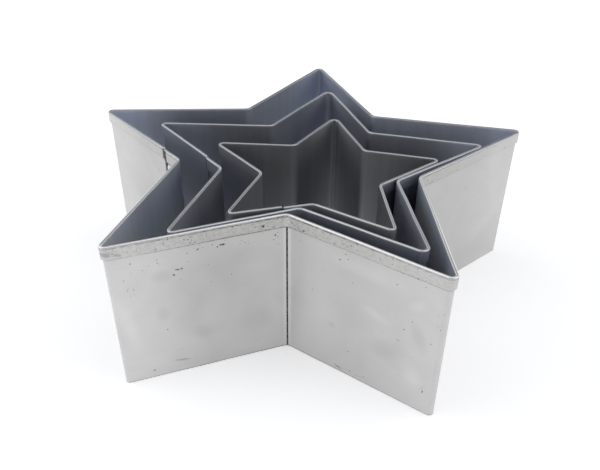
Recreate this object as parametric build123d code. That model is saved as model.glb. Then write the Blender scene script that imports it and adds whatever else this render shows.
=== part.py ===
from build123d import *
import os
from math import atan2, cos, degrees, inf, radians, sin

os.makedirs("parts", exist_ok=True)

# A set of three star cookie cutters, nested one inside the other and standing on their cutting edges.
# Each cutter is one strip of aluminium with a folded rim, bent to a star, lapped and riveted to itself.
# Lengths are in millimetres and angles in degrees. +Z is up, and one tip of the large star points along +Y.

# Stars: a tip radius runs from the centre to the sharp corner of the sheet's middle plane
large_tip_radius = 79.4
large_to_medium_step = 21.0
medium_to_small_step = 20.3
notch_radius_share = 0.50
star_points = 5
cutter_height = 50.0

# Sheet and its bends, measured at the middle plane
sheet_thickness = 0.5
tip_bend_radius = 1.7
notch_bend_radius = 3.3

# Rolled rim: the top edge is folded outwards and down, flat against the wall
hem_depth = 4.0
hem_gap = 0.05
fold_flats = 4

# Crease that guides each notch bend, in the outer face below the hem
crease_width = 0.4
crease_depth = 0.2

# Lap seam, measured along its side from the sharp notch corner
seam_from_notch = 8.5
tongue_from_notch = 3.0
seam_hem_gap = 0.5
lap_gap = 0.05
tongue_drop = 0.8

# Rivets through the lap: a raised head outside and a flatter tail inside, both narrowing to a crown
rivet_shank_radius = 1.0
rivet_hole_clearance = 0.05
rivet_head_radius = 1.5
rivet_head_height = 0.5
rivet_tail_radius = 1.4
rivet_tail_height = 0.4
rivet_crown_share = 0.55
rivet_from_flap_edge = 2.0
upper_rivet_from_rim = 6.5
lower_rivet_from_edge = 8.0

# Nesting: each inner cutter has slid over the table until it almost touches the one around it
nest_clearance = 0.40
medium_slide_angle = -48.3
small_slide_angle = -59.9
small_turn = -1.8

# The tip that each lap follows, counted anticlockwise from the tip on +Y
large_seam_tip = 1
medium_seam_tip = 1
small_seam_tip = 2

# Drills and cutters run past the metal by this much
cut_overrun = 1.0

# Angles of the star: a side leaves its tip at half the tip's opening and meets the next at the notch
first_tip_angle = 90
tip_angle = 360 / star_points
half_tip_angle = tip_angle / 2
half_tip_opening = degrees(atan2(notch_radius_share * sin(radians(half_tip_angle)),
                                 1 - notch_radius_share * cos(radians(half_tip_angle))))
half_notch_opening = half_tip_opening + half_tip_angle

# Sizes that follow from the ones above
medium_tip_radius = large_tip_radius - large_to_medium_step
small_tip_radius = medium_tip_radius - medium_to_small_step
half_sheet = sheet_thickness / 2
fold_radius = hem_gap / 2 + sheet_thickness
fold_base = cutter_height - fold_radius
hem_reach = half_sheet + hem_gap + sheet_thickness
hem_from_notch = seam_from_notch + seam_hem_gap
lap_step = sheet_thickness + lap_gap
rivet_from_notch = seam_from_notch - rivet_from_flap_edge
rivet_heights = {"upper": cutter_height - upper_rivet_from_rim, "lower": lower_rivet_from_edge}


def polar(radius, angle):
    """Point of the plan at a distance and a direction from a star's centre."""
    return Vector(radius * cos(radians(angle)), radius * sin(radians(angle)))


def tip_corner(tip_radius, angle, offset=0):
    """Sharp corner of a tip, on an outline that lies outside the middle plane by offset."""
    return polar(tip_radius + offset / sin(radians(half_tip_opening)), angle)


def notch_corner(tip_radius, angle, offset=0):
    """Sharp corner of a notch, on an outline that lies outside the middle plane by offset."""
    return polar(tip_radius * notch_radius_share + offset / sin(radians(half_notch_opening)), angle)


def lap_corner(tip_radius, seam_angle, offset=0):
    """The notch beside the lap, moved along its far side so that the flap lies over the tongue."""
    notch = notch_corner(tip_radius, seam_angle + half_tip_angle, offset)
    far_side = polar(1, seam_angle + tip_angle + half_tip_opening)
    return notch + far_side * (lap_step / sin(radians(2 * half_notch_opening)))


def seam_point(tip_radius, seam_angle, from_notch, offset=0):
    """Point on the side that carries the lap, at a distance from its notch corner."""
    notch = notch_corner(tip_radius, seam_angle + half_tip_angle)
    along = polar(1, seam_angle - half_tip_opening)
    return notch + along * from_notch + seam_normal(seam_angle) * offset


def seam_normal(seam_angle):
    """Outward direction of the side that carries the lap."""
    return polar(1, seam_angle + 90 - half_tip_opening)


def strip_corners(tip_radius, seam_angle, first_from_notch, offset=0):
    """Corners of the strip's plan in turn, from the lap's inner end clockwise round to the flap's end."""
    corners = [seam_point(tip_radius, seam_angle, first_from_notch, offset)]
    for index in range(star_points):
        angle = seam_angle - index * tip_angle
        corners.append(tip_corner(tip_radius, angle, offset))
        corners.append(notch_corner(tip_radius, angle - half_tip_angle, offset))
    corners[-1] = lap_corner(tip_radius, seam_angle, offset)
    corners.append(seam_point(tip_radius, seam_angle, seam_from_notch, offset + lap_step))
    return corners


def hemmed_section():
    """Section of the strip: wall, fold and hem, with the wall's middle plane at zero."""
    hem_back = half_sheet + hem_gap
    hem_foot = cutter_height - hem_depth
    fold_centre = half_sheet + hem_gap / 2
    points = [(-half_sheet, 0), (half_sheet, 0), (half_sheet, fold_base),
              (hem_back, fold_base), (hem_back, hem_foot), (hem_reach, hem_foot)]
    for step in range(fold_flats + 1):
        spoke = polar(fold_radius, 180 * step / fold_flats)
        points.append((fold_centre + spoke.X, fold_base + spoke.Y))
    return make_face(Polyline(*points, close=True))


def tongue_section():
    """Section of the lap's inner end: the plain wall, cut off below the fold."""
    height = cutter_height - tongue_drop
    return Pos(0, height / 2) * Rectangle(sheet_thickness, height)


def notch_crease(corner, angle):
    """Cutter for the shallow vertical crease in the middle of a notch bend."""
    bend_shift = notch_bend_radius / sin(radians(half_notch_opening)) - notch_bend_radius
    middle = corner + polar(bend_shift + half_sheet, angle)
    height = cutter_height - hem_depth + cut_overrun
    slot = Box(2 * crease_depth, crease_width, height, align=(Align.CENTER, Align.CENTER, Align.MIN))
    return Pos(middle.X, middle.Y, -cut_overrun) * Rot(0, 0, angle) * slot


def rivet_plane(tip_radius, seam_angle, height):
    """Plane of a rivet on the tongue's middle plane, looking outwards along the rivet."""
    place = seam_point(tip_radius, seam_angle, rivet_from_notch)
    return Plane(origin=(place.X, place.Y, height), x_dir=(0, 0, 1), z_dir=seam_normal(seam_angle))


def strip(tip_radius, seam_angle):
    """One cutter's strip: hemmed all round, with a plain tongue behind the riveted flap."""
    start = seam_point(tip_radius, seam_angle, hem_from_notch)
    heading = polar(1, seam_angle - half_tip_opening)
    start_plane = Plane(origin=start, x_dir=seam_normal(seam_angle), z_dir=heading)
    corners = strip_corners(tip_radius, seam_angle, hem_from_notch)
    path = FilletPolyline(*corners, radius=[tip_bend_radius, notch_bend_radius] * star_points)
    body = sweep(start_plane * hemmed_section(), path=path)
    body += extrude(start_plane * tongue_section(), amount=tongue_from_notch - hem_from_notch)
    for index in range(star_points):
        angle = seam_angle + half_tip_angle - index * tip_angle
        corner = notch_corner(tip_radius, angle) if index else lap_corner(tip_radius, seam_angle)
        body -= notch_crease(corner, angle)
    drill_length = 2 * (lap_step + sheet_thickness + cut_overrun)
    for height in rivet_heights.values():
        drill = Cylinder(rivet_shank_radius + rivet_hole_clearance, drill_length)
        body -= rivet_plane(tip_radius, seam_angle, height) * drill
    return body


def rivet():
    """Rivet set through the lap, with its axis along Z and the tongue's middle plane at zero."""
    inner_face = -half_sheet
    outer_face = lap_step + half_sheet
    tail_top = inner_face - rivet_tail_height
    head_top = outer_face + rivet_head_height
    outline = Polyline((0, tail_top), (rivet_tail_radius * rivet_crown_share, tail_top),
                       (rivet_tail_radius, inner_face), (rivet_shank_radius, inner_face),
                       (rivet_shank_radius, outer_face), (rivet_head_radius, outer_face),
                       (rivet_head_radius * rivet_crown_share, head_top), (0, head_top), close=True)
    return revolve(Plane.XZ * make_face(outline), axis=Axis.Z)


def room_to_side(point, start, end, motion):
    """Travel of a point along motion until it is the nesting clearance short of a side it would meet."""
    along = (end - start).normalized()
    normal = Vector(along.Y, -along.X)
    if normal.dot(start - point) < 0:
        normal = normal * -1
    approach = normal.dot(motion)
    if approach <= 0:
        return inf
    travel = (normal.dot(start - point) - nest_clearance) / approach
    met = (point + motion * travel - start).dot(along)
    return travel if 0 <= met <= (end - start).length else inf


def slide_until_close(inner, outer, direction):
    """Travel of the inner outline along direction until it is the clearance from the outer outline."""
    rooms = []
    for index in range(len(outer)):
        rooms += [room_to_side(point, outer[index - 1], outer[index], direction) for point in inner]
        rooms += [room_to_side(point, inner[index - 1], inner[index], direction * -1) for point in outer]
    return min(rooms)


def nested_centre(inner, outer, slide_angle):
    """Centre of an inner cutter that has slid from the outer one's centre until it almost touches."""
    inner_radius, inner_seam, _ = inner
    outer_radius, outer_seam, outer_centre = outer
    inner_rim = strip_corners(inner_radius, inner_seam, tongue_from_notch, hem_reach)
    outer_wall = strip_corners(outer_radius, outer_seam, tongue_from_notch, -half_sheet)
    direction = polar(1, slide_angle)
    return outer_centre + direction * slide_until_close(inner_rim, outer_wall, direction)


# Each cutter: tip radius, direction of the tip before its lap, and centre
large = (large_tip_radius, first_tip_angle + large_seam_tip * tip_angle, Vector(0, 0))
medium = (medium_tip_radius, first_tip_angle + medium_seam_tip * tip_angle, Vector(0, 0))
small = (small_tip_radius, first_tip_angle + small_seam_tip * tip_angle + small_turn, Vector(0, 0))
medium = medium[:2] + (nested_centre(medium, large, medium_slide_angle),)
small = small[:2] + (nested_centre(small, medium, small_slide_angle),)

# The origin lies under the middle of the large star's box, on the surface that the set stands on
large_box = strip(*large[:2]).bounding_box()
origin = Vector(large_box.center().X, large_box.center().Y)

for name, (tip_radius, seam_angle, centre) in {"large": large, "medium": medium, "small": small}.items():
    place = Pos(centre - origin)
    export_step(place * strip(tip_radius, seam_angle), f"parts/{name}_strip.step")
    for level, height in rivet_heights.items():
        fastener = rivet_plane(tip_radius, seam_angle, height) * rivet()
        export_step(place * fastener, f"parts/{name}_rivet_{level}.step")
    print(name, "centre", round((centre - origin).X, 3), round((centre - origin).Y, 3))
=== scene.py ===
"""Looks of the nested star cookie cutters: three strips of bare rolled aluminium with a folded rim."""
import math

import bpy
import numpy as np
from mathutils import Matrix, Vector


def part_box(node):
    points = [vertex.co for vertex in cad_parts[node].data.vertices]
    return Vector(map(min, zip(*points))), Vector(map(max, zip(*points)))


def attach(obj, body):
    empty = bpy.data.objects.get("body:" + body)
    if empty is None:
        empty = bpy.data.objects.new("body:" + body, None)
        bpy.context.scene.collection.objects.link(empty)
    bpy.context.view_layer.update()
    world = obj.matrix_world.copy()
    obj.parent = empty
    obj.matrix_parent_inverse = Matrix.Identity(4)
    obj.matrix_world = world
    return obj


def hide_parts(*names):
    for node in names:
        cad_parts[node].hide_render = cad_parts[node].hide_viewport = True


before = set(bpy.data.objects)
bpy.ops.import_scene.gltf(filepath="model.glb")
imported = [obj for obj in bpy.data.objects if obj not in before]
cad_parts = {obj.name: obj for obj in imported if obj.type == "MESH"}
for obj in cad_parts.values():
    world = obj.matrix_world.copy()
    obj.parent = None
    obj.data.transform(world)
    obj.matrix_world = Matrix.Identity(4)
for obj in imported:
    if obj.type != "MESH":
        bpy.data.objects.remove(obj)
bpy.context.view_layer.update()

# Sizes of the cutters as the frame has them, in metres and degrees
MM = 0.001
CUTTERS = ("large", "medium", "small")
TIP_RADIUS = {"large": 79.4 * MM, "medium": 58.4 * MM, "small": 38.1 * MM}
TURN = {"large": 0.0, "medium": 0.0, "small": -1.8}
SEAM_TIP = {"large": 4, "medium": 4, "small": 3}
NOTCH_SHARE = 0.50
POINTS = 5
FIRST_TIP = 90.0
HEIGHT = 50.0 * MM
SHEET = 0.5 * MM
TIP_BEND = 1.7 * MM
NOTCH_BEND = 3.3 * MM
HEM_DEPTH = 4.0 * MM
HEM_GAP = 0.05 * MM
CREASE_WIDTH = 0.4 * MM
CREASE_DEPTH = 0.2 * MM
SEAM_FROM_NOTCH = 8.5 * MM
TONGUE_FROM_NOTCH = 3.0 * MM
SEAM_HEM_GAP = 0.5 * MM
LAP_GAP = 0.05 * MM
TONGUE_DROP = 0.8 * MM
RIVET_FROM_NOTCH = 6.5 * MM
RIVET_HEIGHT = {"upper": 43.5 * MM, "lower": 8.0 * MM}
RIVET_HEAD = (1.5 * MM, 0.5 * MM)
RIVET_TAIL = (1.4 * MM, 0.4 * MM)
RIVET_SHANK = 1.0 * MM

# Sizes that follow from the ones above
HALF = SHEET / 2
FOLD_RADIUS = HEM_GAP / 2 + SHEET
FOLD_BASE = HEIGHT - FOLD_RADIUS
FOLD_CENTRE = HALF + HEM_GAP / 2
HEM_BACK = HALF + HEM_GAP
HEM_REACH = HEM_BACK + SHEET
HEM_FOOT = HEIGHT - HEM_DEPTH
LAP_STEP = SHEET + LAP_GAP
HEM_START = SEAM_FROM_NOTCH + SEAM_HEM_GAP
TIP_TURN = 360.0 / POINTS

# How far bending by hand has left each corner from the true star: outwards and anticlockwise, in
# millimetres, for the tips and then the notches, clockwise from the rear tip
TIP_SHIFTS = {
    "large": [(-0.6, 0.9), (-0.8, 1.6), (-0.2, 0.4), (-2.4, -0.1), (-1.8, 0.1)],
    "medium": [(1.5, 0.1), (-0.6, 0.5), (0.8, 0.6), (-0.1, -0.7), (1.9, -2.9)],
    "small": [(1.9, 0.3), (0.2, 1.0), (1.2, 0.9), (-0.4, -1.0), (0.9, -1.1)],
}
NOTCH_SHIFTS = {
    "large": [(-1.1, -0.2), (0.7, 0.2), (-1.1, 1.2), (-1.2, -2.1), (-0.6, -0.3)],
    "medium": [(-0.6, -0.1), (-1.2, -0.9), (-0.1, -0.8), (-0.3, -1.0), (0.5, -0.4)],
    "small": [(0.2, -0.8), (0.2, -0.6), (1.3, -0.5), (-0.5, -0.9), (-0.3, -0.1)],
}

# Radius that each tip was really bent to, in millimetres, clockwise from the rear tip
TIP_BENDS = {
    "large": [1.2, 1.0, 1.2, 1.0, 0.9],
    "medium": [1.7, 0.9, 1.5, 0.9, 0.8],
    "small": [1.5, 0.8, 0.9, 0.9, 0.8],
}

# What bending by hand has left in the walls and in the hem's foot. A ripple has its depth and the length
# in which it turns by a radian. A wander of the foot also has how far each strip's seed shifts it
LONG_RIPPLE = (0.08 * MM, 6.1 * MM)
LONG_SWELL = (2.2, 0.4)
SHORT_RIPPLE = (0.03 * MM, 2.9 * MM)
SHORT_SWELL = 5.0
FOOT_WANDERS = [(0.12 * MM, 9.0 * MM, 1), (0.05 * MM, 3.1 * MM, 0)]
SEED_STEP = 1.3

# Fineness of the meshes
COLUMN_STEP = 1.5 * MM
ROW_STEP = 1.5 * MM
TIP_STEPS = 16
NOTCH_STEPS = 12
FOLD_STEPS = 14
SLIT_STEPS = 4
TONGUE_COLUMNS = 6
RIVET_STEPS = 28
CROWN_STEPS = 9
CROWN_FLAT = 0.06
CROWN_FULLNESS = 0.8
EDGE_BREAK = 0.06 * MM
END_STEPS = np.array([0.15, 0.4, 0.8]) * MM
CREASE_STEPS = np.array([-0.26, -0.2, 0.0, 0.2, 0.26]) * MM
STRIP_SHARP_ANGLE = 30
RIVET_SHARP_ANGLE = 60

# Painted light and shade: tone of the inner and of the outer face at the tips and then at the notches,
# clockwise from the rear tip, by which the face's colour is made brighter where it would catch more light and
# darker where the walls shade it. On each side the notch's tone holds for the first share of the way, and
# then turns to the tip's
TIP_LIGHT_TONES = {
    "large": [(1.35, 1.2), (1.4, 1.09), (1.5, 1.12), (1.95, 1.22), (1.6, 1.16)],
    "medium": [(1.4, 1.2), (1.45, 1.2), (1.4, 1.2), (1.45, 1.2), (1.25, 1.4)],
    "small": [(1.15, 1.2), (0.55, 1.2), (0.6, 1.2), (0.55, 1.2), (0.65, 1.2)],
}
NOTCH_LIGHT_TONES = {
    "large": [(1.1, 1.0), (1.7, 0.96), (1.1, 1.0), (1.35, 0.97), (0.85, 1.0)],
    "medium": [(0.85, 1.0), (1.6, 1.3), (1.0, 1.0), (1.0, 1.1), (0.75, 1.0)],
    "small": [(0.65, 1.0), (0.5, 1.5), (0.8, 1.0), (0.7, 1.0), (0.5, 1.0)],
}
TONE_START = {"large": 0.4, "medium": 0.4, "small": 0.0}

# Painted light: tone of the outer and of the inner face at the cutting edge, where it is 1 at the rim, which
# lifts the low part of a wall out of the shade that falls deep between the walls. No metal of the walls comes
# out brighter than the last colour
DEEP_FILL_LIGHT = {"large": (1.0, 2.7), "medium": (1.8, 2.9), "small": (1.8, 1.8)}
CLEAN = "#f3f3f4"

# Colours, all of them sRGB. A rim's painted highlight has a bright one for its front and a dimmer one for its
# rear, with the places between which it turns from the one to the other
# The medium and small cutters' outer colours are darkened as painted shade of the narrow gaps between the
# nested walls
OUTSIDE = {"large": "#c8c7c6", "medium": "#8a8e97", "small": "#8a8d92"}
# The inner colours carry a blue-grey tint of painted light, for the cool light inside the stars
INSIDE = {"large": "#acb1bc", "medium": "#9a9da6", "small": "#a6a8ab"}
# Colour of the painted highlight beside each notch crease
CREASE_HIGHLIGHT_COLOUR = "#e9e9e8"
RIM_HIGHLIGHT = {"large": ("#f6f6f5", "#9fa1a6"), "medium": ("#d2d3d4", "#c2c4c6"), "small": ("#c8c9ca", "#b6b8ba")}
RIM_REAR = (-45 * MM, 15 * MM)
# Hem colours: the large one is soiled metal, the medium and small ones are darkened as painted shade
HEM_SOIL_AND_SHADE_COLOUR = {"large": "#a3a59d", "medium": "#74777e", "small": "#74777e"}
# Rivet colours: the large one is bright metal, the inner cutters' darker ones are painted shade
RIVET_COLOUR_AND_SHADE = {"large": "#e9e9e8", "medium": "#8f9195", "small": "#8f9195"}
# Dark colour of grime and of painted shade, in creases, at the seam, round the rivets, along the hem and deep
# in the tips
GRIME_AND_SHADE_COLOUR = "#333332"
SMEAR_COLOUR = "#8d8d8b"
# Colour of the painted pale reflections in upright streaks inside the small cutter
PALE_REFLECTION_COLOUR = "#c9c6bf"
PAPER = "#f6f6f6"
WHITE = "#ffffff"

# Surface: roughness of the wall and of the polished top of the fold, and of the grime and painted shadow. The
# mill's rolls draw reflections out across the strip, a quarter turn from its length
ROUGHNESS = (0.48, 0.25)
GRIME_AND_SHADE_ROUGHNESS = 0.6
ANISOTROPY = 0.7
QUARTER_TURN = 0.25
# Heights over which the top of the fold turns smooth and takes the rim's painted highlight colour
POLISH_RISE = (HEIGHT - 0.3 * MM, HEIGHT - 0.12 * MM)

# Noise on the sheet: sizes on the real strip, round ones and ones with a length and a height. Rolling
# lines are really ten times finer, and are drawn just coarse enough to show
CLOUD = 15 * MM
CLOUD_DETAIL = 3.0
CLOUD_DISTORTION = 0.8
FINE = 0.5 * MM
FINE_DETAIL = 2.0
STRETCHED_NOISE = {
    "rolling": {"size": (30 * MM, 0.4 * MM), "Detail": 3.0, "Roughness": 0.5},
    "upright": {"size": (2.5 * MM, 80 * MM), "Detail": 2.0, "Roughness": 0.5},
    "fleck": {"size": (1.3 * MM, 0.6 * MM), "Detail": 4.0, "Roughness": 0.7},
}
NOISE_MIDDLE = (0.5, 0.5, 0.5)

# Tones between which a pattern swings, from the low end of the noise's usual span to the high one
NOISE_SPAN = (0.3, 0.7)
CLOUD_TONES = (0.965, 1.035)
ROLLING_TONES = (0.99, 1.01)
UPRIGHT_TONES = {"large": (0.96, 1.04), "medium": (0.96, 1.04), "small": (0.95, 1.06)}

# Painted highlight beside each notch's crease, and painted shade deep in each tip's bend: how far they reach
# and how strong they are
HALO_REACH = 1.6 * MM
HALO_TONE = 0.25
TIP_SHADE = (0.1 * MM, 1.2 * MM)
TIP_DEPTH = {"large": 0.3, "medium": 0.4, "small": 0.75}

# Soil of the hem: how much of it there is at the notches, what share of that is left at the tips and at
# the rear, and how far flecks of scuffed metal cover it
HEM_SOIL = {"large": 1.0, "medium": 0.3, "small": 0.3}
HEM_SOIL_SPAN = (0.1, 1.0)
HEM_TIP_SHARE = 0.45
HEM_REAR_SHARE = 0.35
SCUFF_SPAN = (0.4, 0.65)
HEM_SCUFF = (0.1, 0.75)

# Grime with painted shadow, in the notch creases, at the seam's ends and round the rivets: distances at which
# it starts to thin and is gone, and how thick it lies
CREASE_GRIME_AND_SHADE = (0.22 * MM, 0.36 * MM)
END_GRIME_AND_SHADOW = {"large": (0.9 * MM, 1.7 * MM), "medium": (0.45 * MM, 0.85 * MM), "small": (0.45 * MM, 0.85 * MM)}
SEAM_SOIL_AND_SHADOW = {"large": 1.0, "medium": 0.6, "small": 0.3}
RIVET_GRIME_AND_SHADOW = (1.75 * MM, 2.2 * MM)
RIVET_SOIL_AND_SHADOW = 0.8
WEAR_SPAN = (0.3, 0.6)
GRIME_AND_SHADOW_COVER = (0.65, 1.0)

# Lines of grime with painted shadow below the hem, under the fold and at the cutting edge: height of the
# middle, half the width, and how thin and how thick flecks leave it
GRIME_AND_SHADOW_LINES = [
    (HEM_FOOT - 0.3 * MM, 0.45 * MM, (0.2, 0.8)),
    (HEIGHT - 0.62 * MM, 0.24 * MM, (0.3, 0.9)),
    (0.0, 0.5 * MM, (0.5, 0.8)),
]
LINE_CORE = 0.4
LINE_SPAN = (0.35, 0.6)

# Specks strewn by chance, one at most in each cell of a net. The chance rises with the height and swings
# with the clouds, and more is added on the hem and in the placed flecks. Sizes are shares of a cell
SPECK_SPACING = 1.2 * MM
SPECK_RISE = (30 * MM, 45 * MM)
SPECK_CHANCE = (0.004, 0.03)
CLUSTER_SPAN = (0.4, 0.6)
SPECK_CLUSTERS = (0.3, 1.8)
HEM_SPECKS = 0.3
FLECKED = 0.6
SPECK_SIZE = (0.06, 0.2)
SPECK_CORE = 0.5

# Marks placed one by one: dark specks, flecks where more specks are strewn, grey smears, darker stains and
# paler patches on the outside, and upright streaks of painted pale reflection on the inside. Of each kind
# there is its depth, and the share of its half length that is full before its edge begins
SMEAR_DEPTH = 0.45
STAIN_DEPTH = 0.08
PATCH_DEPTH = 0.075
PALE_REFLECTION_DEPTH = 0.25
MARK_CORE = {"specks": 0.5, "smears": 0.5, "flecks": 0.7, "stains": 0.2, "patches": 0.1, "pale_reflections": 0.1}
MARK_WOBBLE = 0.5 * MM
OUT_OF_REACH = 9.0

# The marks that can be told apart, in millimetres and degrees: distance along, height, half length, half
# height and slope. On the large cutter they are on the two front walls, with distances from the front
# notch towards the front left tip, and inside the small one from its rear right notch towards its right
# tip. These notches have the number that they have among the strip's corners
MARKED_NOTCH = {"large": 8, "small": 6}
MARKS = {
    "large": {
        "specks": [
            (19.2, 43.6, 1.1, 0.35, 5), (20.6, 43.2, 0.4, 0.25, 0), (26.2, 43.6, 0.4, 0.25, 0),
            (32.3, 38.3, 0.9, 0.22, 8), (31.0, 38.3, 0.4, 0.3, 0), (33.5, 36.7, 0.35, 0.3, 0),
            (17.0, 32.8, 0.2, 0.18, 0), (37.2, 17.6, 0.3, 0.22, 0), (42.7, 2.8, 0.4, 0.25, 0),
            (7.3, 47.4, 0.6, 0.45, 0), (3.6, 43.4, 0.4, 0.3, 0), (-19.8, 44.1, 0.3, 0.2, 0),
            (-18.1, 41.6, 0.3, 0.25, 0), (-20.7, 42.7, 0.25, 0.2, 0), (-6.1, 46.6, 0.5, 0.25, -20),
            (-39.6, 27.4, 0.3, 0.28, 0), (-36.0, 41.2, 0.25, 0.2, 0), (-19.3, 1.5, 1.8, 0.2, 16),
            (-47.4, 8.1, 0.25, 0.7, 0),
        ],
        "flecks": [
            (12.7, 43.0, 2.2, 1.4, 0), (3.6, 42.6, 2.0, 1.8, 0), (24.2, 43.6, 2.6, 0.7, 5),
            (39.0, 40.6, 4.4, 0.5, -8), (24.0, 37.4, 2.0, 0.8, 0), (32.3, 34.0, 1.2, 0.9, 0),
            (31.0, 3.8, 4.0, 0.9, 5), (43.0, 7.4, 0.9, 0.9, 0), (26.5, 47.9, 6.5, 0.9, 0),
            (8.0, 47.6, 3.0, 0.8, 0), (-21.8, 43.0, 1.6, 0.6, 0), (45.5, 34.0, 2.2, 1.8, 0),
            (-47.5, 9.0, 0.7, 3.0, 0), (-49.4, 36.5, 0.8, 6.0, 0), (-26.0, 2.2, 6.0, 0.6, 0),
            (49.5, 48.0, 2.6, 1.4, 0), (-20.0, 47.8, 9.0, 0.7, 0),
        ],
        "smears": [
            (50.3, 47.6, 1.1, 0.8, 0), (47.6, 47.0, 1.3, 0.6, 10), (52.4, 46.4, 1.0, 0.5, 0),
            (34.0, 4.5, 2.9, 0.5, 8), (-38.1, 22.7, 0.8, 0.35, 20), (1.6, 48.9, 0.9, 0.3, 0),
        ],
        "stains": [
            (36.3, 36.8, 5.0, 3.2, 0), (37.7, 23.7, 3.2, 3.6, 0), (10.0, 14.0, 8.0, 7.0, 0),
            (-35.5, 17.5, 7.5, 5.0, -30), (14.0, 38.0, 13.0, 7.0, 0), (-16.3, 17.0, 2.0, 1.5, 0),
            (-44.0, 27.0, 3.0, 7.0, -25), (26.6, 14.0, 5.0, 4.0, 30), (22.0, 30.0, 20.0, 24.0, 0),
            (49.8, 48.0, 3.6, 1.9, 0),
        ],
        "patches": [
            (48.0, 22.0, 3.5, 14.0, -10), (-42.8, 37.0, 4.6, 2.4, -40), (-43.5, 12.0, 4.5, 5.5, -30),
            (-24.0, 41.0, 17.0, 4.0, 0), (23.0, 22.0, 6.0, 9.0, 10), (-30.0, 28.0, 7.0, 2.6, 15),
            (-10.0, 28.0, 12.0, 30.0, 0), (-2.5, 36.0, 5.0, 18.0, 0),
        ],
    },
    "small": {
        "pale_reflections": [(0.8, 24.0, 0.8, 8.0, 0), (-3.5, 22.0, 1.2, 6.0, 0), (-24.5, 21.0, 0.8, 5.0, 0)],
    },
}

# Rivets: size of the dents that the die leaves, and how dull they are
RIVET_DENT = 1.0 * MM
RIVET_DENT_DETAIL = 2.0
DENT_SPAN = (0.4, 0.65)
DENT_DULLNESS = 0.5
RIVET_ROUGHNESS = 0.3

# Light, at a level at which white paper comes out just under white. The sky turns from its low tone to
# its high one between two heights, and each soft window in it has a direction and a tone
FLOOR_LIFT = 0.37
FLOOR_SIZE = 3.0
SKY_COLOUR = "#fbfcff"
SKY_RISE = (0.4, 0.6)
SKY_TONES = (0.84, 0.22)
SKY_WINDOWS = [
    ((-0.75, 0.0, 0.66), 0.85),
    ((0.75, 0.0, 0.66), 0.8),
    ((0.0, 0.0, 1.0), 0.75),
    ((-0.85, -0.45, 0.25), 0.2),
]
WINDOW_EDGE = (0.78, 0.98)

# Camera, fitted to the corners of the stars in the photograph, in metres and degrees
CAMERA_PLACE = (23.3 * MM, -205.8 * MM, 149.8 * MM)
CAMERA_AZIMUTH = 7.03
CAMERA_DOWN = 34.79
CAMERA_ROLL = 0.25
CAMERA_LENS = 40.41
CAMERA_SENSOR = 36.0
CAMERA_SHIFT = (0.0075, 0.0229)
CAMERA_NEAR = 10 * MM

# Settings that many nodes share
SOFT_EDGE = {"interpolation_type": "SMOOTHSTEP"}
OF_COLOURS = {"data_type": "RGBA"}


def heading(angle):
    """Unit step of the plan in a direction, x in the real part and y in the imaginary one."""
    return np.exp(1j * math.radians(angle))


def star_corners(name, bent=True):
    """Tips and notches of a cutter's middle line, clockwise from the rear tip, about the star's centre.

    A tip lies at the tip radius in its direction, and a notch at a share of it half a turn further on.
    Each is moved outwards and anticlockwise by what bending by hand has left.
    """
    directions = np.array([heading(FIRST_TIP + TURN[name] - TIP_TURN * k) for k in range(POINTS)])
    tip_shift, notch_shift = (np.array(table[name]) @ (1, 1j) * MM * bent
                              for table in (TIP_SHIFTS, NOTCH_SHIFTS))
    tips = directions * (TIP_RADIUS[name] + tip_shift)
    notches = directions * heading(-TIP_TURN / 2) * (TIP_RADIUS[name] * NOTCH_SHARE + notch_shift)
    return tips, notches


def seam_side(name, bent=True):
    """The side that carries the lap: its notch corner, the way from there to its tip, and outwards."""
    tips, notches = star_corners(name, bent)
    notch = notches[SEAM_TIP[name] - 1]
    along = (tips[SEAM_TIP[name]] - notch) / abs(tips[SEAM_TIP[name]] - notch)
    return notch, along, 1j * along


def strip_corners(name, bent=True):
    """Corners of a strip's middle line, clockwise from where the hem starts to the flap's end.

    The last notch is moved along its far side by the lap step over the sine of the notch's opening, so
    that the flap passes outside the tongue.
    """
    tips, notches = (np.roll(corners, -SEAM_TIP[name]) for corners in star_corners(name, bent))
    notch, along, outward = seam_side(name, bent)
    far_side = (tips[-1] - notch) / abs(tips[-1] - notch)
    notches[-1] = notch + far_side * LAP_STEP / math.sin(abs(np.angle(far_side / along)))
    first = notch + along * HEM_START
    last = notch + along * SEAM_FROM_NOTCH + outward * LAP_STEP
    return np.concatenate([[first], np.stack([tips, notches], 1).ravel(), [last]])


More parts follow.
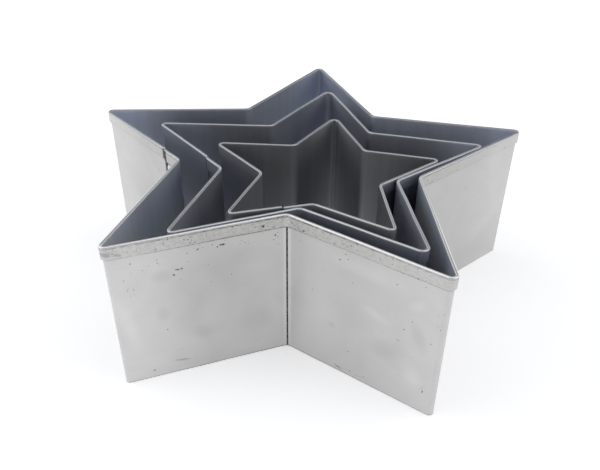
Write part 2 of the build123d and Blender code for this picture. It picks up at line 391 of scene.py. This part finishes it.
def bent_line(name, bent=True):
    """A strip's middle line, which runs straight between its corners and turns each one on an arc.

    On an arc the outward normal turns evenly, and a point is the arc's centre plus or minus the bend radius
    times that normal. Returns arrays with a value for each column: points, outward normals, distances along
    the line, shares along each straight leg, distances from the middle of the nearest notch bend and of the
    nearest tip bend, and the inner and the outer tone of painted light and shade, which ease from the notch's
    to the tip's after the share of the side over which the notch's holds.
    """
    corners = strip_corners(name, bent)
    tip_bends = np.roll(TIP_BENDS[name], -SEAM_TIP[name]) * MM if bent else np.full(POINTS, TIP_BEND)
    radii = np.stack([tip_bends, np.full(POINTS, NOTCH_BEND)], 1).ravel()
    legs = np.diff(corners)
    ways = legs / np.abs(legs)
    turns = np.angle(ways[1:] / ways[:-1])
    cuts = np.concatenate([[0.0], radii * np.tan(np.abs(turns) / 2), [0.0]])
    points, normals, shares, distances = [], [], [], []
    notch_middles, tip_middles = [-HEM_START], []
    travelled = 0.0
    for k, way in enumerate(ways):
        start, end = corners[k] + way * cuts[k], corners[k + 1] - way * cuts[k + 1]
        length = abs(end - start)
        last_leg = k == len(ways) - 1
        steps = np.linspace(0, length, max(2, math.ceil(length / COLUMN_STEP)) + 1)
        if k == 0:
            steps = np.union1d(steps, END_STEPS)
        if last_leg:
            steps = np.union1d(steps, length - END_STEPS)
        steps = steps if last_leg else steps[:-1]
        points.append(start + way * steps)
        normals.append(np.full(len(steps), 1j * way))
        shares.append(steps / length)
        distances.append(travelled + steps)
        travelled += length
        if last_leg:
            break
        arc_length = abs(turns[k]) * radii[k]
        if turns[k] < 0:
            arc = np.arange(TIP_STEPS) / TIP_STEPS
            tip_middles.append(travelled + arc_length / 2)
        else:
            arc = np.union1d(np.arange(NOTCH_STEPS) / NOTCH_STEPS, 0.5 + CREASE_STEPS / arc_length)
            notch_middles.append(travelled + arc_length / 2)
        normal = 1j * way * np.exp(1j * turns[k] * arc)
        points.append(end + np.sign(turns[k]) * radii[k] * (1j * way - normal))
        normals.append(normal)
        shares.append(np.zeros(len(arc)))
        distances.append(travelled + arc_length * arc)
        travelled += arc_length
    distances = np.concatenate(distances)
    notch_gaps, tip_gaps = (np.abs(distances[:, None] - middles) for middles in (notch_middles, tip_middles))
    from_notch, from_tip = notch_gaps.min(1), tip_gaps.min(1)
    tip_light_tones, notch_light_tones = (np.roll(table[name], -SEAM_TIP[name], 0) for table in (TIP_LIGHT_TONES, NOTCH_LIGHT_TONES))
    notch_light_tones = np.concatenate([notch_light_tones[-1:], notch_light_tones])[notch_gaps.argmin(1)]
    start = TONE_START[name]
    lean = np.clip((from_notch / (from_notch + from_tip) - start) / (1 - start), 0, 1)[:, None]
    tones = notch_light_tones + (tip_light_tones[tip_gaps.argmin(1)] - notch_light_tones) * lean ** 2 * (3 - 2 * lean)
    return (np.concatenate(points), np.concatenate(normals), distances, np.concatenate(shares), from_notch,
            from_tip, tones)


def rows_between(low, high):
    """Heights from low to high, both included, about a row step apart."""
    return np.linspace(low, high, max(2, math.ceil(abs(high - low) / ROW_STEP) + 1))


def hemmed_profile():
    """Section of the strip as a closed loop of offsets and heights, and which points are on the inner face.

    It goes up the wall's outer face, round the slit, down and up the hem, over the fold on a half
    circle and down the inner face. The cut edges are broken by a small bevel.
    """
    up = np.concatenate([rows_between(EDGE_BREAK, HEM_FOOT - 2 * EDGE_BREAK),
                         rows_between(HEM_FOOT, FOLD_BASE)])
    fold = np.linspace(0, math.pi, FOLD_STEPS + 1)
    slit = np.linspace(math.pi, 0, SLIT_STEPS + 1)[1:-1]
    hem = rows_between(HEM_FOOT + EDGE_BREAK, FOLD_BASE)
    offsets = np.concatenate([
        [-HALF + EDGE_BREAK, HALF - EDGE_BREAK], np.full(len(up), HALF),
        FOLD_CENTRE + HEM_GAP / 2 * np.cos(slit),
        np.full(len(hem), HEM_BACK), [HEM_BACK + EDGE_BREAK, HEM_REACH - EDGE_BREAK],
        np.full(len(hem) - 1, HEM_REACH), FOLD_CENTRE + FOLD_RADIUS * np.cos(fold),
        np.full(len(up) - 1, -HALF)])
    heights = np.concatenate([
        [0, 0], up, FOLD_BASE + HEM_GAP / 2 * np.sin(slit), hem[::-1], [HEM_FOOT, HEM_FOOT],
        hem[:-1], FOLD_BASE + FOLD_RADIUS * np.sin(fold), up[-2::-1]])
    return offsets, heights, (offsets <= -HALF + EDGE_BREAK).astype(float)


def plain_profile(top):
    """Section of the tongue: the plain wall up to a height, with broken edges."""
    up = rows_between(EDGE_BREAK, top - EDGE_BREAK)
    offsets = np.concatenate([[-HALF + EDGE_BREAK, HALF - EDGE_BREAK], np.full(len(up), HALF),
                              [HALF - EDGE_BREAK, -HALF + EDGE_BREAK], np.full(len(up), -HALF)])
    heights = np.concatenate([[0, 0], up, [top, top], up[::-1]])
    return offsets, heights, (offsets <= -HALF + EDGE_BREAK).astype(float)


def bulge(distances, heights, shares, seed):
    """How far bending by hand has left the wall from flat, at each column and row.

    A long and a short ripple run along the strip, each times its own swell over the height, and both
    fade to nothing where a leg meets a bend.
    """
    along, up = distances[:, None], heights[None, :] / HEIGHT
    calm = np.clip(4 * shares * (1 - shares), 0, 1)[:, None]
    swells = np.sin(LONG_SWELL[0] * up + LONG_SWELL[1]), np.cos(SHORT_SWELL * up + seed)
    long_ripple = LONG_RIPPLE[0] * np.sin(along / LONG_RIPPLE[1] + seed) * swells[0]
    short_ripple = SHORT_RIPPLE[0] * np.sin(along / SHORT_RIPPLE[1] + 2 * seed) * swells[1]
    return calm * (long_ripple + short_ripple)


def closed_tube(grid):
    """Faces of a grid of points whose rows close on themselves, with a cap on its first and last column."""
    columns, rows = grid.shape[:2]
    column, row = np.meshgrid(np.arange(columns - 1) * rows, np.arange(rows), indexing="ij")
    after = (row + 1) % rows
    quads = np.stack([column + row, column + after, column + rows + after, column + rows + row], -1)
    caps = [np.arange(rows)[::-1].tolist(), np.arange((columns - 1) * rows, columns * rows).tolist()]
    return quads.reshape(-1, 4).tolist() + caps


def carried_surface(line, profile, seed, loose=1.0):
    """Closed surface of a profile carried along a line.

    A point is the line's point plus the outward normal times the profile's offset, the bulge and, on
    the outer face below the hem, less the notch crease. Its height is the profile's, and the hem's foot
    wanders a little. Columns follow the line and rows go round the profile. Returns the points, the
    faces, the map in metres and what the material needs to know of each point.
    """
    points, normals, distances, shares, from_notch, from_tip, tones = line
    offsets, heights, inner = profile
    groove = np.clip((CREASE_WIDTH / 2 + EDGE_BREAK - from_notch) / EDGE_BREAK, 0, 1)
    grooved = (np.abs(offsets - HALF) <= EDGE_BREAK) & (heights < HEM_FOOT)
    sunk = CREASE_DEPTH * groove[:, None] * grooved
    out = offsets + loose * bulge(distances, heights, shares, seed) - sunk
    plan = points[:, None] + normals[:, None] * out
    hem_share = np.clip((FOLD_BASE - heights) / (FOLD_BASE - HEM_FOOT), 0, 1) * (offsets > FOLD_CENTRE)
    wander = sum(depth * np.sin(distances / length + shift * seed) for depth, length, shift in FOOT_WANDERS)
    tops = heights + wander[:, None] * hem_share
    grid = np.stack([plan.real, plan.imag, tops], -1)
    sheet_map = np.stack([np.broadcast_to(distances[:, None], plan.shape), tops], -1)
    ends = np.minimum(distances - distances[0], distances[-1] - distances)
    by_column = {"crease_gap": from_notch, "tip_gap": from_tip, "end_gap": ends}
    traits = {label: np.repeat(values, len(offsets)) for label, values in by_column.items()}
    traits["inner_face"] = np.tile(inner, len(points))
    # Tone of painted light and shade, for the inner and for the outer face
    traits["tone"] = np.where(inner > 0, tones[:, :1], tones[:, 1:]).ravel()
    return grid.reshape(-1, 3), closed_tube(grid), sheet_map.reshape(-1, 2), traits


def mesh_object(name, surfaces, sharp_angle):
    """One smooth mesh from closed surfaces, with its map in metres and its traits as attributes."""
    starts = np.cumsum([0] + [len(vertices) for vertices, *_ in surfaces])
    faces = [[index + start for index in face]
             for start, surface in zip(starts, surfaces) for face in surface[1]]
    mesh = bpy.data.meshes.new(name)
    mesh.from_pydata(np.concatenate([surface[0] for surface in surfaces]).tolist(), [], faces)
    mesh.update()
    corners = np.zeros(len(mesh.loops), np.int32)
    mesh.loops.foreach_get("vertex_index", corners)
    sheet_map = np.concatenate([surface[2] for surface in surfaces])[corners]
    mesh.uv_layers.new(name="sheet_map").data.foreach_set("uv", sheet_map.astype(np.float32).ravel())
    for label in surfaces[0][3]:
        values = np.concatenate([surface[3][label] for surface in surfaces])
        mesh.attributes.new(label, "FLOAT", "POINT").data.foreach_set("value", values.astype(np.float32))
    mesh.polygons.foreach_set("use_smooth", np.ones(len(mesh.polygons), bool))
    mesh.set_sharp_from_angle(angle=math.radians(sharp_angle))
    piece = bpy.data.objects.new(name, mesh)
    bpy.context.scene.collection.objects.link(piece)
    return piece


def star_centre(name):
    """Where the frame has a cutter's centre: the true star's box is laid on the box of its node."""
    low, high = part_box(f"{name}_strip")
    points, normals, *_ = bent_line(name, bent=False)
    reach = points + normals * HEM_REACH
    return complex((low.x + high.x - reach.real.min() - reach.real.max()) / 2,
                   (low.y + high.y - reach.imag.min() - reach.imag.max()) / 2)


def strip_piece(name, seed):
    """One cutter's strip: the hemmed wall all round, and the plain tongue behind its flap.

    The tongue is a flat wall along the seam's side, far from any bend and of an even tone.
    """
    centre = star_centre(name)
    points, *columns = bent_line(name)
    notch, along, outward = seam_side(name)
    steps = np.linspace(TONGUE_FROM_NOTCH, HEM_START, TONGUE_COLUMNS)
    flat = np.zeros(TONGUE_COLUMNS)
    tongue = (centre + notch + along * steps, flat + outward, steps - HEM_START, flat, flat + HEM_START,
              flat + HEM_START, np.ones((TONGUE_COLUMNS, 2)))
    return mesh_object(f"{name}_rolled_strip", [
        carried_surface((points + centre, *columns), hemmed_profile(), seed),
        carried_surface(tongue, plain_profile(HEIGHT - TONGUE_DROP), seed, loose=0.0)], STRIP_SHARP_ANGLE)


def rivet_foot(name):
    """Plan point where the axis of a cutter's rivets crosses the tongue's middle plane."""
    notch, along, _ = seam_side(name)
    return star_centre(name) + notch + along * RIVET_FROM_NOTCH


def rivet_piece(name, level):
    """A set rivet: a profile turned about the axis that runs outwards through the lap.

    The profile climbs from the tail's crown over its rim, along the shank and over the head, and each
    crown is a power of the cosine of the share of its radius. A point is the axis point at the profile's
    depth plus the radius times the cosine of the turn upwards and the sine along the side.
    """
    _, along, outward = seam_side(name)
    share = np.linspace(CROWN_FLAT, 1, CROWN_STEPS)
    crown = np.cos(share * math.pi / 2) ** CROWN_FULLNESS
    inner_face, outer_face = -HALF, LAP_STEP + HALF
    radii = np.concatenate([RIVET_TAIL[0] * share, [RIVET_SHANK] * 2, RIVET_HEAD[0] * share[::-1]])
    depths = np.concatenate([inner_face - RIVET_TAIL[1] * crown, [inner_face, outer_face],
                             outer_face + RIVET_HEAD[1] * crown[::-1]])
    turn = np.linspace(0, 2 * math.pi, RIVET_STEPS, endpoint=False)
    plan = rivet_foot(name) + outward * depths[:, None] + along * radii[:, None] * np.sin(turn)
    grid = np.stack([plan.real, plan.imag, RIVET_HEIGHT[level] + radii[:, None] * np.cos(turn)], -1)
    rivet_map = np.stack(np.broadcast_arrays(turn * RIVET_SHANK, depths[:, None]), -1).reshape(-1, 2)
    surface = grid.reshape(-1, 3), closed_tube(grid), rivet_map, {}
    return mesh_object(f"{name}_set_rivet_{level}", [surface], RIVET_SHARP_ANGLE)


def linear(hex_colour):
    """Linear red, green, blue and alpha of an sRGB hex colour."""
    parts = [int(hex_colour[k:k + 2], 16) / 255 for k in (1, 3, 5)]
    return [p / 12.92 if p <= 0.04045 else ((p + 0.055) / 1.055) ** 2.4 for p in parts] + [1.0]


def add(tree, kind, sockets=(), **settings):
    """Adds a node and returns its outputs.

    Settings are its properties. Sockets are its inputs, in their order or by name or number, each with
    a value or with the output that feeds it. Those of a Mix node go by number, since their names repeat:
    0 is the factor, 2 and 3 are values, 6 and 7 are colours, and its output 2 is a colour.
    """
    made = tree.nodes.new("ShaderNode" + kind)
    for name, value in settings.items():
        setattr(made, name, value)
    for name, value in (sockets.items() if isinstance(sockets, dict) else enumerate(sockets)):
        if isinstance(value, bpy.types.NodeSocket):
            tree.links.new(value, made.inputs[name])
        else:
            made.inputs[name].default_value = value
    return made.outputs


def empty_tree(owner):
    """The cleared node tree of a material or a world."""
    owner.use_nodes = True
    owner.node_tree.nodes.clear()
    return owner.node_tree


def marks_along(name):
    """A cutter's marks in metres, with the distance from the marked notch changed to that along the strip."""
    if name not in MARKS:
        return {}
    points, _, distances, *_ = bent_line(name)
    notch = distances[np.abs(points - strip_corners(name)[MARKED_NOTCH[name]]).argmin()]
    return {kind: [(notch + along * MM, up * MM, long * MM, high * MM, slope)
                   for along, up, long, high, slope in rows] for kind, rows in MARKS[name].items()}


def marks_mask(tree, spot, marks, core):
    """Mask of marks placed one by one: full in the core of each one's ellipse, and gone at its edge."""
    nearest = OUT_OF_REACH
    for along, up, half_length, half_height, slope in marks:
        own = add(tree, "Mapping", {"Vector": spot, "Location": (along, up, 0),
                                    "Rotation": (0, 0, math.radians(slope)),
                                    "Scale": (half_length, half_height, 1)}, vector_type="TEXTURE")[0]
        reach = add(tree, "VectorMath", (own,), operation="LENGTH")["Value"]
        nearest = add(tree, "Math", (nearest, reach), operation="MINIMUM")[0]
    return add(tree, "MapRange", (nearest, core, 1.0, 1.0, 0.0), **SOFT_EDGE)[0]


def sheet_values(tree, name):
    """What the parts of a strip's material share, by name, as values at each point of the sheet.

    They are its place, its map and traits, the noise patterns with the tones that they give, masks of the
    placed marks, and how far it is on the hem, polished under the rim's painted highlight, at the rear and in
    the hem's soil.
    """
    at = {"place": add(tree, "TexCoord")["Object"], "map": add(tree, "UVMap", uv_map="sheet_map")[0]}
    at["height"] = add(tree, "SeparateXYZ", (at["map"],))["Y"]
    for trait in ("inner_face", "crease_gap", "tip_gap", "end_gap", "tone"):
        at[trait] = add(tree, "Attribute", attribute_name=trait)["Fac"]
    at["outer_face"] = add(tree, "Math", (1.0, at["inner_face"]), operation="SUBTRACT")[0]
    at["on_hem"] = add(tree, "Math", (at["height"], HEM_FOOT), operation="GREATER_THAN")[0]
    at["polish"] = add(tree, "MapRange", (at["height"], *POLISH_RISE, 0.0, 1.0), **SOFT_EDGE)[0]

    # Noise patterns
    at["cloud"] = add(tree, "TexNoise", {"Vector": at["place"], "Scale": 1 / CLOUD, "Detail": CLOUD_DETAIL,
                                         "Distortion": CLOUD_DISTORTION})[0]
    fine = add(tree, "TexNoise", {"Vector": at["place"], "Scale": 1 / FINE, "Detail": FINE_DETAIL})
    at["fine"] = fine[0]
    for pattern, noise in STRETCHED_NOISE.items():
        length, height = noise["size"]
        stretched = add(tree, "Mapping", {"Vector": at["map"], "Scale": (1 / length, 1 / height, 1)})[0]
        at[pattern] = add(tree, "TexNoise", {"Vector": stretched, "Scale": 1.0, "Detail": noise["Detail"],
                                             "Roughness": noise["Roughness"]})[0]
    swings = {"cloud": CLOUD_TONES, "rolling": ROLLING_TONES, "upright": UPRIGHT_TONES[name]}
    for pattern, tones in swings.items():
        at[f"{pattern}_tone"] = add(tree, "MapRange", (at[pattern], *NOISE_SPAN, *tones))[0]

    # Placed marks, on a map that wobbles so that their edges are ragged
    wobble = add(tree, "VectorMath", (fine["Color"], NOISE_MIDDLE), operation="SUBTRACT")[0]
    wobble = add(tree, "VectorMath", {0: wobble, "Scale": MARK_WOBBLE}, operation="SCALE")[0]
    spot = add(tree, "VectorMath", (at["map"], wobble), operation="ADD")[0]
    at.update(dict.fromkeys(MARK_CORE, 0.0))
    for kind, rows in marks_along(name).items():
        at[kind] = marks_mask(tree, spot, rows, MARK_CORE[kind])

    # Soil of the hem, less of it towards the tips and at the rear
    side = add(tree, "Math", (at["crease_gap"], at["tip_gap"]), operation="ADD")[0]
    share = add(tree, "Math", (at["crease_gap"], side), operation="DIVIDE")[0]
    soil = (share, *HEM_SOIL_SPAN, HEM_SOIL[name], HEM_SOIL[name] * HEM_TIP_SHARE)
    soil = add(tree, "MapRange", soil)[0]
    depth = add(tree, "SeparateXYZ", (at["place"],))["Y"]
    at["rear"] = add(tree, "MapRange", (depth, *RIM_REAR, 0.0, 1.0), **SOFT_EDGE)[0]
    left = add(tree, "MapRange", (at["rear"], 0.0, 1.0, 1.0, HEM_REAR_SHARE))[0]
    at["hem_soil"] = add(tree, "Math", (soil, left), operation="MULTIPLY")[0]
    return at


def outside_colour(tree, name, at):
    """Colour of the outer faces: a painted highlight beside the notch creases, painted light and shade by
    corner and by depth, scuffed on the hem, stained and patchy.
    """
    colour = linear(OUTSIDE[name])[:3]
    # Painted light and shade, set corner by corner
    colour = add(tree, "VectorMath", {0: colour, "Scale": at["tone"]}, operation="SCALE")[0]
    # Painted highlight beside the notch crease
    halo = add(tree, "MapRange", (at["crease_gap"], HALO_REACH, 0.0, 0.0, HALO_TONE))[0]
    colour = add(tree, "Mix", {0: halo, 6: colour, 7: linear(CREASE_HIGHLIGHT_COLOUR)}, **OF_COLOURS)[2]
    scuffed = add(tree, "MapRange", (at["fleck"], *SCUFF_SPAN, *HEM_SCUFF))[0]
    for share_left in (at["on_hem"], at["hem_soil"]):
        scuffed = add(tree, "Math", (scuffed, share_left), operation="MULTIPLY")[0]
    colour = add(tree, "Mix", {0: scuffed, 6: colour, 7: linear(HEM_SOIL_AND_SHADE_COLOUR[name])}, **OF_COLOURS)[2]
    # Painted light: brighter towards the cutting edge, against the shade deep between the nested walls
    deep_fill_light = add(tree, "MapRange", (at["height"], HEIGHT, 0.0, 1.0, DEEP_FILL_LIGHT[name][0]))[0]
    marked = add(tree, "Math", (at["stains"], -STAIN_DEPTH, 1.0), operation="MULTIPLY_ADD")[0]
    marked = add(tree, "Math", (at["patches"], PATCH_DEPTH, marked), operation="MULTIPLY_ADD")[0]
    for tone in (at["rolling_tone"], deep_fill_light, marked):
        colour = add(tree, "VectorMath", {0: colour, "Scale": tone}, operation="SCALE")[0]
    return colour


def inside_colour(tree, name, at):
    """Colour of the inner faces: a blue-grey tint of painted light with upright streaks, painted light and
    shade by corner and by depth, painted shade deep in the tips and painted pale reflections.
    """
    colour = linear(INSIDE[name])[:3]
    # Painted light: brighter towards the cutting edge, against the shade deep inside the star
    deep_fill_light = add(tree, "MapRange", (at["height"], HEIGHT, 0.0, 1.0, DEEP_FILL_LIGHT[name][1]))[0]
    # The corner tone is painted light and shade
    for tone in (at["upright_tone"], at["tone"], deep_fill_light):
        colour = add(tree, "VectorMath", {0: colour, "Scale": tone}, operation="SCALE")[0]
    # Painted shade deep in each tip's bend
    in_tip = add(tree, "MapRange", (at["tip_gap"], *TIP_SHADE, TIP_DEPTH[name], 0.0), **SOFT_EDGE)[0]
    # Painted pale reflections in upright streaks
    pale_reflection = add(tree, "Math", (at["pale_reflections"], PALE_REFLECTION_DEPTH), operation="MULTIPLY")[0]
    for mask, over in ((in_tip, GRIME_AND_SHADE_COLOUR), (pale_reflection, PALE_REFLECTION_COLOUR)):
        colour = add(tree, "Mix", {0: mask, 6: colour, 7: linear(over)}, **OF_COLOURS)[2]
    return colour


def specks_mask(tree, at):
    """Mask of the specks strewn by chance: a cell has one if its lot is below the chance at that place."""
    cells = add(tree, "TexVoronoi", {"Vector": at["map"], "Scale": 1 / SPECK_SPACING},
                voronoi_dimensions="2D")
    lots = add(tree, "SeparateColor", (cells["Color"],))
    chance = add(tree, "MapRange", (at["height"], *SPECK_RISE, *SPECK_CHANCE))[0]
    gathered = add(tree, "MapRange", (at["cloud"], *CLUSTER_SPAN, *SPECK_CLUSTERS))[0]
    chance = add(tree, "Math", (chance, gathered), operation="MULTIPLY")[0]
    soiled_hem = add(tree, "Math", (at["on_hem"], at["hem_soil"]), operation="MULTIPLY")[0]
    for mask, more in ((soiled_hem, HEM_SPECKS), (at["flecks"], FLECKED)):
        chance = add(tree, "Math", (mask, more, chance), operation="MULTIPLY_ADD")[0]
    drawn = add(tree, "Math", (lots[0], chance), operation="LESS_THAN")[0]
    size = add(tree, "MapRange", (lots[1], 0.0, 1.0, *SPECK_SIZE))[0]
    reach = add(tree, "Math", (cells["Distance"], size), operation="DIVIDE")[0]
    speck = add(tree, "MapRange", (reach, SPECK_CORE, 1.0, 1.0, 0.0), **SOFT_EDGE)[0]
    return add(tree, "Math", (speck, drawn), operation="MULTIPLY")[0]


def grime_and_shadow_mask(tree, name, at):
    """Mask of grime and painted shadow on the outer faces, broken up by fine noise, and none on the polished
    fold.

    Grime with painted shadow lies in the notch creases below the hem, at the strip's two ends, in the lines
    along the strip and in a ring round each rivet. The specks are grime alone.
    """
    below_hem = add(tree, "Math", (1.0, at["on_hem"]), operation="SUBTRACT")[0]
    in_crease = add(tree, "MapRange", (at["crease_gap"], *CREASE_GRIME_AND_SHADE, 1.0, 0.0), **SOFT_EDGE)[0]
    at_end = (at["end_gap"], *END_GRIME_AND_SHADOW[name], SEAM_SOIL_AND_SHADOW[name], 0.0)
    dirt_and_shadow = [add(tree, "Math", (in_crease, below_hem), operation="MULTIPLY")[0],
            add(tree, "MapRange", at_end, **SOFT_EDGE)[0], specks_mask(tree, at), at["specks"]]
    for middle, half_width, flecked in GRIME_AND_SHADOW_LINES:
        off = add(tree, "Math", (at["height"], middle), operation="SUBTRACT")[0]
        off = add(tree, "Math", (off,), operation="ABSOLUTE")[0]
        line = add(tree, "MapRange", (off, LINE_CORE * half_width, half_width, 1.0, 0.0), **SOFT_EDGE)[0]
        held = add(tree, "MapRange", (at["fleck"], *LINE_SPAN, *flecked))[0]
        for share_left in (held, at["hem_soil"]):
            line = add(tree, "Math", (line, share_left), operation="MULTIPLY")[0]
        dirt_and_shadow.append(line)
    foot = rivet_foot(name)
    for level in RIVET_HEIGHT.values():
        ends = (at["place"], (foot.real, foot.imag, level))
        away = add(tree, "VectorMath", ends, operation="DISTANCE")["Value"]
        dirt_and_shadow.append(add(tree, "MapRange", (away, *RIVET_GRIME_AND_SHADOW, RIVET_SOIL_AND_SHADOW, 0.0), **SOFT_EDGE)[0])
    grime_and_shadow = 0.0
    for mask in dirt_and_shadow:
        grime_and_shadow = add(tree, "Math", (grime_and_shadow, mask), operation="MAXIMUM")[0]
    worn = add(tree, "MapRange", (at["fine"], *WEAR_SPAN, *GRIME_AND_SHADOW_COVER))[0]
    unpolished = add(tree, "Math", (1.0, at["polish"]), operation="SUBTRACT")[0]
    for share_left in (worn, at["outer_face"], unpolished):
        grime_and_shadow = add(tree, "Math", (grime_and_shadow, share_left), operation="MULTIPLY")[0]
    return grime_and_shadow


def rolled_aluminium(name):
    """Bare rolled aluminium sheet, as it comes from the mill and after years in a drawer.

    The satin mill finish draws reflections out across the rolling, so each wall has hardly any change from
    top to bottom. The eye also sees soft cloudy patches, faint rolling lines, smoother metal over the fold
    under a painted highlight, dull scuffed metal on the hem, and grime with painted shadow in the creases, at
    the seam, round the rivets and along the hem. Painted light and shade also set each corner's tone and lift
    the low part of the walls, and the inner faces have a blue-grey tint of painted light, with painted pale
    reflections in the small one.
    """
    material = bpy.data.materials.new(f"rolled_aluminium_{name}")
    tree = empty_tree(material)
    at = sheet_values(tree, name)
    faces = {0: at["inner_face"], 6: outside_colour(tree, name, at), 7: inside_colour(tree, name, at)}
    colour = add(tree, "Mix", faces, **OF_COLOURS)[2]
    colour = add(tree, "VectorMath", {0: colour, "Scale": at["cloud_tone"]}, operation="SCALE")[0]
    colour = add(tree, "VectorMath", (colour, linear(CLEAN)[:3]), operation="MINIMUM")[0]
    # The rim's painted highlight: bright at the front, dimmer at the rear
    front, rear = RIM_HIGHLIGHT[name]
    rim_highlight = add(tree, "Mix", {0: at["rear"], 6: linear(front), 7: linear(rear)}, **OF_COLOURS)[2]
    smear = add(tree, "Math", (at["smears"], SMEAR_DEPTH), operation="MULTIPLY")[0]
    smear = add(tree, "Math", (smear, at["outer_face"]), operation="MULTIPLY")[0]
    grime_and_shadow = grime_and_shadow_mask(tree, name, at)
    for mask, over in ((at["polish"], rim_highlight), (smear, linear(SMEAR_COLOUR)), (grime_and_shadow, linear(GRIME_AND_SHADE_COLOUR))):
        colour = add(tree, "Mix", {0: mask, 6: colour, 7: over}, **OF_COLOURS)[2]
    rough = add(tree, "MapRange", (at["polish"], 0.0, 1.0, *ROUGHNESS))[0]
    rough = add(tree, "Mix", {0: grime_and_shadow, 2: rough, 3: GRIME_AND_SHADE_ROUGHNESS})[0]
    length = add(tree, "Tangent", direction_type="UV_MAP", uv_map="sheet_map")[0]
    shader = add(tree, "BsdfPrincipled", {"Base Color": colour, "Metallic": 1.0, "Roughness": rough,
                                          "Anisotropic": ANISOTROPY, "Anisotropic Rotation": QUARTER_TURN,
                                          "Tangent": length})[0]
    add(tree, "OutputMaterial", {"Surface": shader})
    return material


def soft_rivet_aluminium(name):
    """Soft aluminium rivet, set cold: the die leaves its crown bright and smooth, with a few dull dents.

    The rivets of the inner cutters are darkened as painted shade of the narrow gaps they sit in.
    """
    material = bpy.data.materials.new(f"set_rivet_aluminium_{name}")
    tree = empty_tree(material)
    place = add(tree, "TexCoord")["Object"]
    dents = add(tree, "TexNoise", {"Vector": place, "Scale": 1 / RIVET_DENT, "Detail": RIVET_DENT_DETAIL})[0]
    dull = add(tree, "MapRange", (dents, *DENT_SPAN, 0.0, DENT_DULLNESS))[0]
    colours = {0: dull, 6: linear(RIVET_COLOUR_AND_SHADE[name]), 7: linear(HEM_SOIL_AND_SHADE_COLOUR[name])}
    colour = add(tree, "Mix", colours, **OF_COLOURS)[2]
    shader = add(tree, "BsdfPrincipled", {"Base Color": colour, "Metallic": 1.0,
                                          "Roughness": RIVET_ROUGHNESS})[0]
    add(tree, "OutputMaterial", {"Surface": shader})
    return material


def white_paper():
    """Matt white paper, lit by the room, and lifted to white where the camera or the metal looks at it."""
    material = bpy.data.materials.new("white_paper")
    tree = empty_tree(material)
    path = add(tree, "LightPath")
    seen = add(tree, "Math", (path["Is Camera Ray"], path["Is Glossy Ray"]), operation="MAXIMUM")[0]
    seen = add(tree, "Math", (seen, path["Is Transmission Ray"]), operation="MAXIMUM")[0]
    lift = add(tree, "Math", (seen, FLOOR_LIFT), operation="MULTIPLY")[0]
    paper = add(tree, "BsdfDiffuse", {"Color": linear(PAPER)})[0]
    glow = add(tree, "Emission", {"Color": linear(WHITE), "Strength": lift})[0]
    both = add(tree, "AddShader", (paper, glow))[0]
    add(tree, "OutputMaterial", {"Surface": both})
    return material


def studio_sky():
    """A white room with soft windows in a dim upper half, and plain white where the camera sees it."""
    world = bpy.data.worlds.new("studio_sky")
    bpy.context.scene.world = world
    tree = empty_tree(world)
    direction = add(tree, "TexCoord")["Generated"]
    rise = add(tree, "SeparateXYZ", (direction,))["Z"]
    strength = add(tree, "MapRange", (rise, *SKY_RISE, *SKY_TONES), **SOFT_EDGE)[0]
    for towards, tone in SKY_WINDOWS:
        facing = add(tree, "VectorMath", (direction, towards), operation="DOT_PRODUCT")["Value"]
        window = add(tree, "MapRange", (facing, *WINDOW_EDGE, 0.0, tone), **SOFT_EDGE)[0]
        strength = add(tree, "Math", (strength, window), operation="ADD")[0]
    path = add(tree, "LightPath")
    seen = add(tree, "Math", (path["Is Camera Ray"], path["Is Transmission Ray"]), operation="MAXIMUM")[0]
    light = add(tree, "Background", (linear(SKY_COLOUR), strength))[0]
    white = add(tree, "Background", (linear(WHITE), 1.0))[0]
    mixed = add(tree, "MixShader", (seen, light, white))[0]
    add(tree, "OutputWorld", {"Surface": mixed})


for order, cutter in enumerate(CUTTERS):
    strip = strip_piece(cutter, SEED_STEP * order)
    strip.data.materials.append(rolled_aluminium(cutter))
    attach(strip, f"{cutter}_cutter")
    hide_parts(f"{cutter}_strip")
    rivet_metal = soft_rivet_aluminium(cutter)
    for level in RIVET_HEIGHT:
        rivet = rivet_piece(cutter, level)
        rivet.data.materials.append(rivet_metal)
        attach(rivet, f"{cutter}_cutter")
        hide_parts(f"{cutter}_rivet_{level}")

# Floor and room
edge = FLOOR_SIZE / 2
floor_corners = [(-edge, -edge, 0), (edge, -edge, 0), (edge, edge, 0), (-edge, edge, 0)]
floor_mesh = bpy.data.meshes.new("paper_floor")
floor_mesh.from_pydata(floor_corners, [], [(0, 1, 2, 3)])
floor = bpy.data.objects.new("paper_floor", floor_mesh)
bpy.context.scene.collection.objects.link(floor)
floor.data.materials.append(white_paper())
studio_sky()

# Camera
camera_data = bpy.data.cameras.new("camera")
camera_data.sensor_width = CAMERA_SENSOR
camera_data.lens = CAMERA_LENS
camera_data.shift_x, camera_data.shift_y = CAMERA_SHIFT
camera_data.clip_start = CAMERA_NEAR
camera = bpy.data.objects.new("camera", camera_data)
camera.matrix_world = (Matrix.Translation(CAMERA_PLACE)
                       @ Matrix.Rotation(math.radians(CAMERA_AZIMUTH), 4, "Z")
                       @ Matrix.Rotation(math.radians(90 - CAMERA_DOWN), 4, "X")
                       @ Matrix.Rotation(math.radians(CAMERA_ROLL), 4, "Z"))
bpy.context.scene.collection.objects.link(camera)
bpy.context.scene.camera = camera
bpy.context.scene.view_settings.view_transform = "Standard"
